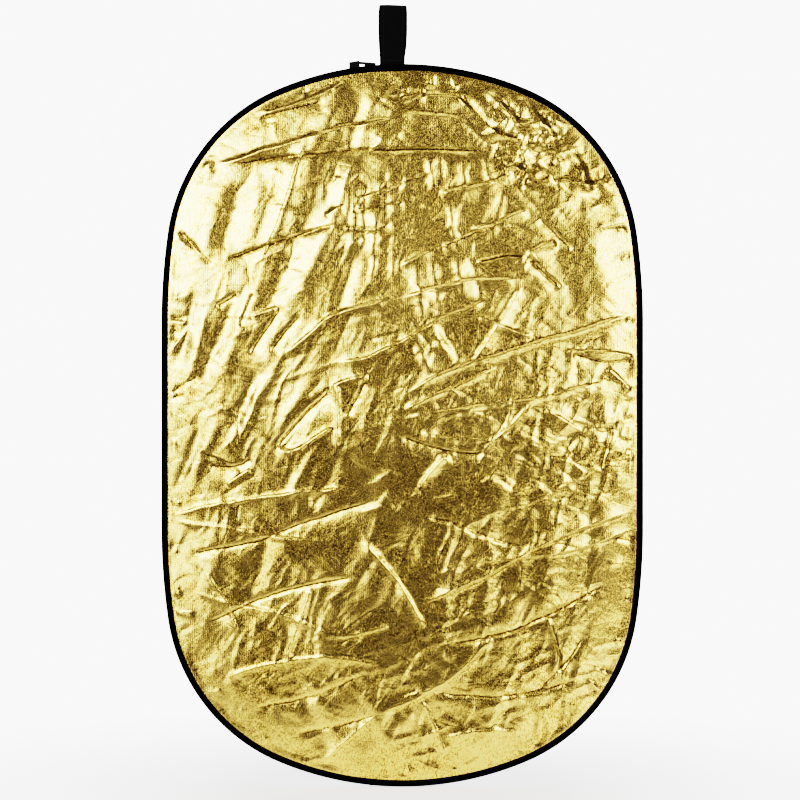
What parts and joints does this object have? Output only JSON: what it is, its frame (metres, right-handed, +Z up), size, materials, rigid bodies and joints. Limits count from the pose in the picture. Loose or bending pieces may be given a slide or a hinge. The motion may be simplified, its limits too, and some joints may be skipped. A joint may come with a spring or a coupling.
{
  "type": "collapsible reflector disc",
  "caption": "Oval pop-up studio reflector: gold and silver zipped reversible cover with black border over a sprung hoop with a white diffuser, zip slider and webbing carrying loop.",
  "frame": {"origin": "centre of the oval in the middle of its thickness, the point a reflector holder's arm crosses", "axes": "+Z up the long way of the oval, through the carrying loop; +Y out of the back, silver, face, so the gold face looks along -Y; +X to the right seen from the gold side"},
  "size_m": [0.7992, 0.026, 1.2976],
  "materials": {
    "gold_cloth": "metallised woven cloth, mirror-bright gold, creased",
    "white_cloth": "matt white woven cloth",
    "silver_cloth": "metallised woven cloth, mirror-bright silver, creased",
    "black_cloth": "matt black woven cloth",
    "border_ribbon": "black grosgrain ribbon",
    "zip_tape": "black knitted polyester tape",
    "zip_coil": "black nylon coil",
    "zip_metal": "black enamelled zinc",
    "diffuser_cloth": "translucent white ripstop cloth",
    "spring_steel": "blued flat spring steel",
    "sleeve_metal": "plain crimped steel",
    "webbing": "black woven polypropylene webbing",
    "thread": "black bonded polyester thread"
  },
  "bodies": {
    "reflector": {"gold_cloth": "gold_cloth", "white_lining": "white_cloth", "silver_cloth": "silver_cloth", "black_lining": "black_cloth", "front_border": "border_ribbon", "back_border": "border_ribbon", "zip_tape_front": "zip_tape", "zip_tape_back": "zip_tape", "zip_coil_front": "zip_coil", "zip_coil_back": "zip_coil", "zip_top_stops": "zip_metal", "zip_bottom_stop": "zip_metal", "closed_side_tape": "zip_tape", "diffuser_cloth": "diffuser_cloth", "diffuser_binding": "border_ribbon", "hoop_band": "spring_steel", "hoop_sleeve": "sleeve_metal", "loop_foot": "webbing"},
    "slider": {"zip_slider": "zip_metal"},
    "pull": {"zip_pull": "zip_metal"},
    "handle": {"carrying_loop": "webbing", "loop_bar_tack": "thread"}
  },
  "joints": [
    {"name": "slider_travel", "type": "hinge", "parent": "reflector", "child": "slider", "pos_m": [0, 0, 0.07], "axis": [0, -1, 0], "range_deg": [0, 13]},
    {"name": "pull_swing", "type": "hinge", "parent": "slider", "child": "pull", "pos_m": [-0.07753, 0, 0.6027], "axis": [0, -1, 0], "range_deg": [0, 203]},
    {"name": "handle_flop", "type": "hinge", "parent": "reflector", "child": "handle", "pos_m": [-0.0158, 0, 0.602], "axis": [1, 0, 0], "range_deg": [-90, 90], "stiffness_Nm_per_rad": 0.03}
  ]
}
